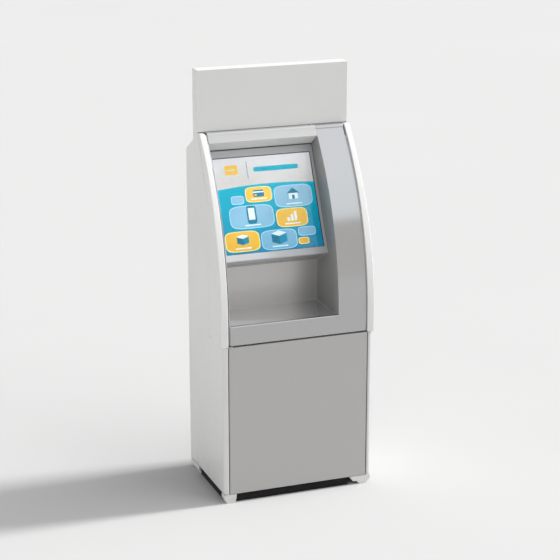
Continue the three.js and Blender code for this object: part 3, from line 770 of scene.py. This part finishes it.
def front_depth(z):
    """y of the cheeks' front edge at this height."""
    rise = max(0, z - CURVE_START)
    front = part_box("side_panel_right")[0].y
    return front + CURVE_R - math.sqrt(CURVE_R ** 2 - rise ** 2)


def edge_seal(name, cheek, side, foot, top, inset):
    """A soft grey seal in the gap between the fascia and a cheek, its round nose inset from both."""
    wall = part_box(cheek)[0 if side > 0 else 1].x - side * 0.1 * MM
    start, end = sorted((wall, wall - side * SEAL_WIDE))
    steps = 26
    rings = []
    bm = bmesh.new()
    for i in range(steps + 1):
        z = foot + (top - foot) * i / steps
        y = front_depth(z) + inset
        section = ((start, y + MM), ((start + end) / 2, y), (end, y + MM),
                   (end, y + SEAL_DEEP), (start, y + SEAL_DEEP))
        rings.append([bm.verts.new((x, depth, z)) for x, depth in section])
    sweep(bm, rings)
    strip_material = moulded("Grey edge seal " + name, (0.5, 0.505, 0.51), 0.7, 500, 0.08)
    piece = link_piece(name, finish_mesh(bm, name + "_mesh"), body_of(cheek), "bezel_plastic", [strip_material])
    for polygon in piece.data.polygons:
        polygon.use_smooth = True


def painted_shadow_skirt():
    """Black strips that hang between the feet and close the gap under the cabinet: a painted shadow."""
    low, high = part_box("base_plate")
    inset, thick, drop = 5 * MM, 2.5 * MM, MM
    clear = 2 * MM             # from the feet
    top = low.z - 0.2 * MM
    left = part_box("foot_front_left")[1].x + clear
    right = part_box("foot_front_right")[0].x - clear
    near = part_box("foot_front_left")[1].y + clear
    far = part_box("foot_rear_left")[0].y - clear
    bm = bmesh.new()
    for y in (low.y + inset, high.y - inset):
        block(bm, (left, y, drop), (right, y + thick, top))
    for x in (low.x + inset, high.x - inset):
        block(bm, (x, near, drop), (x + thick, far, top))
    strip_material = moulded("Black painted shadow strip", (0.004, 0.004, 0.004), 0.95, 300, 0.1)
    piece = link_piece("painted_shadow_skirt", finish_mesh(bm, "base_skirt_mesh"), body_of("base_plate"),
                       "black_plastic", [strip_material])
    soften(piece, 0.5 * MM, 2, 40)


def repaint(node, material, chosen):
    """Gives another material to a piece's faces whose normals are chosen."""
    mesh = bpy.data.objects[node + "_finish"].data
    mesh.materials.append(material)
    for polygon in mesh.polygons:
        if chosen(polygon.normal):
            polygon.material_index = len(mesh.materials) - 1


def repaint_faces():
    """Faces recoloured by their normals, mostly with painted light and painted shade."""
    # Painted light and shade: the recess paler than the door, its ends darker, its shelf brighter
    tray = bpy.data.objects["recess_tray_finish"].data
    tray.materials[0] = satin_metal("Recess metal painted light", shade(GREY, 1.3), 0.3, 0.6, (1, 9, 1))
    shaded_ends = satin_metal("Recess ends painted shade", shade(GREY, 0.55), 0.4, 0.5, (1, 9, 1))
    repaint("recess_tray", shaded_ends, lambda normal: abs(normal.x) > 0.7)
    shelf = satin_metal("Recess shelf painted light", shade(GREY, 1.45), 0.2, 0.75, (9, 1, 1))
    repaint("recess_tray", shelf, lambda normal: normal.z > 0.7)
    # The column's walls are satin, only its front glossy; the walls' darker colour is painted shade
    shaded_walls = satin_metal("Column side painted shade", shade(GREY, 0.8), 0.55, 0.3, (1, 9, 1))
    repaint("fascia_panel", shaded_walls, lambda normal: abs(normal.x) > 0.6)
    # The right side panel's rounded front edge is greyed, a painted shade on the lit bend
    shaded_edge = powder_coat("White edge painted shade", shade(WHITE, 0.74), 0.5, grime=0.5)
    repaint("side_panel_right", shaded_edge, lambda normal: normal.y < -0.2 and abs(normal.z) < 0.3)
    # The beam's underside is painted pale, a painted light on its shaded face
    lit_underside = moulded("Underside of beam painted light", (0.78, 0.775, 0.765), 0.5, 900, 0.02)
    repaint("top_beam", lit_underside, lambda normal: normal.z < -0.3)


def recess_fillet():
    """A bead of sealant where the recess's tray meets the column's wall."""
    low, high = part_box("recess_tray")
    wall_x = high.x + 0.3 * MM
    sheet, leg = 2 * MM, 2.6 * MM
    front = low.y + 4 * MM
    shelf = low.z + sheet
    back = high.y - sheet
    lean = Vector((math.cos(TILT), -math.sin(TILT)))     # (y, z) down the sloping ceiling
    top_back = Vector((back, fillet_top(back)))
    path = [Vector((front, shelf)), Vector((back, shelf)), top_back, top_back - lean * 84 * MM]
    inward = [Vector((0, leg)), Vector((-leg, leg)), Vector((-leg, -leg * 0.6)),
              Vector((-leg * 0.42, -leg * 0.9))]
    bm = bmesh.new()
    rings = []
    for corner, step in zip(path, inward):
        a, c = (wall_x, corner), (wall_x - leg, corner)
        b = (wall_x, corner + step)
        m = (wall_x - leg * 0.3, corner + step * 0.3)
        rings.append([bm.verts.new((x, p.x, p.y)) for x, p in (a, b, m, c)])
    sweep(bm, rings)
    mesh = finish_mesh(bm, "recess_fillet_mesh")
    link_piece("recess_fillet", mesh, body_of("recess_tray"), "grey_paint")


def fillet_top(y):
    """Height of the recess's sloping ceiling at this depth."""
    low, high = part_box("monitor_bezel")
    return low.z + BEZEL_THICK * math.sin(TILT) - (y - low.y) * math.tan(TILT)


# Run -----------------------------------------------------------------------------------------

PLAIN_EDGE = 0.45 * MM
EDGES = {
    "cheek_right": (2.2 * MM, 4), "cheek_left": (2.2 * MM, 4),
    "side_panel_right": (0.5 * MM, 2), "side_panel_left": (0.5 * MM, 2),
    "header_front": (0.7 * MM, 3), "header_back": (0.6 * MM, 2),
    "foot_front_left": (1.2 * MM, 3), "foot_front_right": (1.2 * MM, 3),
    "foot_rear_left": (1.2 * MM, 3), "foot_rear_right": (1.2 * MM, 3),
    "monitor_bezel": (0.8 * MM, 3), "touch_glass": (0.4 * MM, 2), "top_beam": (1.0 * MM, 3),
    "fascia_panel": (0.6 * MM, 2), "door_panel": (0.5 * MM, 2), "recess_tray": (0.5 * MM, 2),
    "cash_cassette_lower": (2.5 * MM, 3), "cash_cassette_upper": (2.5 * MM, 3),
    "backup_battery": (3 * MM, 3), "computer": (0.8 * MM, 2), "dispenser_chassis": (0.8 * MM, 2),
    "receipt_printer": (1.5 * MM, 3), "note_transport": (0.8 * MM, 2),
    "contactless_reader": (3 * MM, 3), "power_rocker": (0.8 * MM, 3), "paper_roll": (0.6 * MM, 2),
    "fan_frame": (0.8 * MM, 2), "fan_rotor": (0.35 * MM, 2), "header_led_strip": (0.8 * MM, 2),
}

for node in list(frame["nodes"]):
    holes = [counterbores(back_screw_places(), (0, 1, 0))] if node == "back_panel" else []
    refined(node, *EDGES.get(node, (PLAIN_EDGE, 2)), cutters=holes)
make_picture()
repaint_faces()
recess_fillet()
painted_shadow_skirt()
seal_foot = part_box("fascia_panel")[0].z + 3 * MM
edge_seal("fascia_seal_right", "cheek_right", 1, seal_foot, SEAL_TOP, 6 * MM)
edge_seal("fascia_seal_left", "cheek_left", -1, *LEFT_SEAL, 2 * MM)
panel_screws()
fitting("computer_vents", "computer", "dark_metal", computer_vents, 0.2 * MM)
fitting("computer_controls", "computer", "black_plastic", computer_panel)
fitting("battery_controls", "backup_battery", "black_plastic", battery_panel, 0.2 * MM)
for level in ("lower", "upper"):
    fitting(f"cassette_ribs_{level}", f"cash_cassette_{level}", "cassette_plastic", cassette_face)
    fitting(f"cassette_plate_{level}", f"cash_cassette_{level}", "foot_plastic", cassette_plate,
            0.3 * MM)
fitting("dispenser_cover", "dispenser_chassis", "dark_metal", dispenser_works)
fitting("dispenser_knobs", "dispenser_chassis", "cassette_plastic", dispenser_knobs, 0.6 * MM)


# Floor, light and camera ---------------------------------------------------------------------


BRIGHT_SIDE = (0.85, -0.53, 0)   # the sky is brighter towards the right and the front
SIDE_LEVELS = (0.3, 1.2)         # the sky's strength on its dim side and on its bright side
BACKDROP = (0.84, 0.84, 0.84)    # what the camera sees above the floor
CAMERA_PLACE = (-1.78695, -4.74894, 2.14021)
LOOKS_DOWN, LOOKS_ROUND = 16.49, -20.64    # degrees
FOCAL_LENGTH = 111.13            # mm


def make_floor():
    m = Finish("Pale studio floor", Roughness=0.9, Specular_IOR_Level=0.1)
    m.colour(m.mix(m.spread(m.noise(0.6, 3), 0, 1), (0.49, 0.488, 0.484), (0.5, 0.498, 0.494)))
    bm = bmesh.new()
    bmesh.ops.create_grid(bm, x_segments=4, y_segments=4, size=30)
    floor = bpy.data.objects.new("studio_floor", finish_mesh(bm, "studio_floor_mesh"))
    floor.data.materials.append(m.material)
    bpy.context.scene.collection.objects.link(floor)


def sky_ramp(tree, fac, stops):
    ramp = tree.nodes.new("ShaderNodeValToRGB")
    tree.links.new(fac, ramp.inputs["Fac"])
    elements = ramp.color_ramp.elements
    elements[0].position, elements[1].position = stops[0][0], stops[-1][0]
    elements[0].color, elements[1].color = (*stops[0][1], 1), (*stops[-1][1], 1)
    for position, colour in stops[1:-1]:
        elements.new(position).color = (*colour, 1)
    return ramp.outputs["Color"]


def make_world():
    """A soft studio. Diffuse light, gloss and the camera each see their own sky."""
    world = bpy.data.worlds.new("Studio")
    world.use_nodes = True
    tree = world.node_tree
    background = tree.nodes["Background"]
    where = tree.nodes.new("ShaderNodeTexCoord").outputs["Generated"]
    split = tree.nodes.new("ShaderNodeSeparateXYZ")
    tree.links.new(where, split.inputs["Vector"])
    up = split.outputs["Z"]
    seen = sky_ramp(tree, up, (
        (0.0, (0.72, 0.705, 0.69)), (0.37, (0.7, 0.685, 0.67)), (0.41, (1.18, 1.22, 1.27)),
        (1.0, (1.38, 1.42, 1.48))))
    cast = sky_ramp(tree, up, (
        (0.0, (0.5, 0.49, 0.48)), (0.25, (0.5, 0.49, 0.48)), (0.45, (0.93, 0.94, 0.95)),
        (1.0, (0.95, 0.96, 0.98))))
    pick = tree.nodes.new("ShaderNodeMix")
    pick.data_type = "RGBA"
    path = tree.nodes.new("ShaderNodeLightPath")
    tree.links.new(path.outputs["Is Glossy Ray"], pick.inputs["Factor"])
    tree.links.new(cast, pick.inputs[6])
    tree.links.new(seen, pick.inputs[7])
    side = tree.nodes.new("ShaderNodeVectorMath")
    side.operation = "DOT_PRODUCT"
    side.inputs[1].default_value = BRIGHT_SIDE
    tree.links.new(where, side.inputs[0])
    level = tree.nodes.new("ShaderNodeMapRange")
    level.inputs["From Min"].default_value = -1
    level.inputs["To Min"].default_value, level.inputs["To Max"].default_value = SIDE_LEVELS
    tree.links.new(side.outputs["Value"], level.inputs["Value"])
    scaled = tree.nodes.new("ShaderNodeVectorMath")
    scaled.operation = "SCALE"
    tree.links.new(pick.outputs[2], scaled.inputs[0])
    tree.links.new(level.outputs["Result"], scaled.inputs["Scale"])
    shown = tree.nodes.new("ShaderNodeMix")
    shown.data_type = "RGBA"
    tree.links.new(path.outputs["Is Camera Ray"], shown.inputs["Factor"])
    tree.links.new(scaled.outputs["Vector"], shown.inputs[6])
    shown.inputs[7].default_value = (*BACKDROP, 1)
    tree.links.new(shown.outputs[2], background.inputs["Color"])
    bpy.context.scene.world = world


def make_sun(name, direction, strength, spread):
    """A distant lamp that shines from this direction, its disc spread degrees across."""
    light = bpy.data.lights.new(name, "SUN")
    light.energy = strength
    light.angle = math.radians(spread)
    lamp = bpy.data.objects.new(name, light)
    lamp.rotation_euler = Vector(direction).to_track_quat("Z", "Y").to_euler()
    bpy.context.scene.collection.objects.link(lamp)
    return lamp


def make_camera():
    camera = bpy.data.cameras.new("Camera")
    camera.sensor_width = 36   # mm
    camera.lens = FOCAL_LENGTH
    shooter = bpy.data.objects.new("Camera", camera)
    shooter.location = CAMERA_PLACE
    shooter.rotation_euler = (math.radians(90 - LOOKS_DOWN), 0, math.radians(LOOKS_ROUND))
    bpy.context.scene.collection.objects.link(shooter)
    bpy.context.scene.camera = shooter


make_floor()
make_world()
make_sun("Key", (1.0, -0.05, 0.9), 3.5, 7)
make_sun("Fill", (-1.0, 0.02, 0.04), 1.35, 20)
make_sun("Broad", (0.9, -0.4, 0.7), 1.55, 70).visible_glossy = False
make_camera()
bpy.context.scene.view_settings.view_transform = "Standard"
